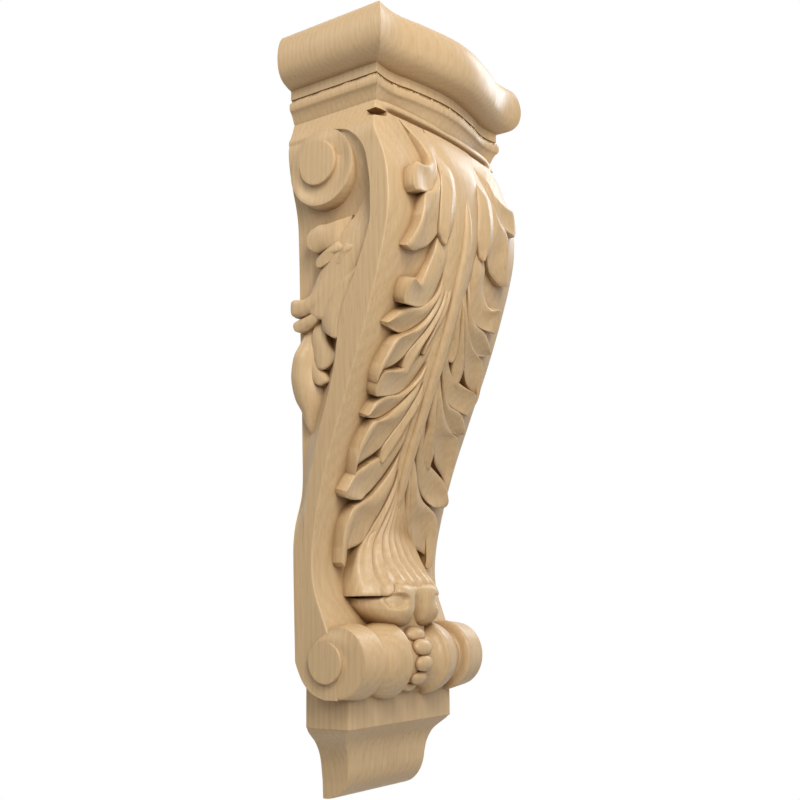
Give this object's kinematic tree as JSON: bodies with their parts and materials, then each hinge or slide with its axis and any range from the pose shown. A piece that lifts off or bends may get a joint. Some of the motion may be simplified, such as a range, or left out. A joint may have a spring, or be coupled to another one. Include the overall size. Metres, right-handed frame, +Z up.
{
  "type": "carved wooden corbel bracket",
  "caption": "Tall carved wooden corbel with a moulded bowed cap, an acanthus-carved console, side scrolls, a beaded cross roll and a pendant foot.",
  "frame": {"origin": "middle of the flat back, on the wall plane, halfway up the corbel", "axes": "+X to the right along the wall, +Y into the wall, +Z up; the carved front faces -Y"},
  "size_m": [0.1966, 0.1087, 0.56],
  "materials": {
    "wood": "satin, sanded and unstained pale hardwood"
  },
  "bodies": {
    "root": {"corbel": "wood"}
  },
  "joints": []
}
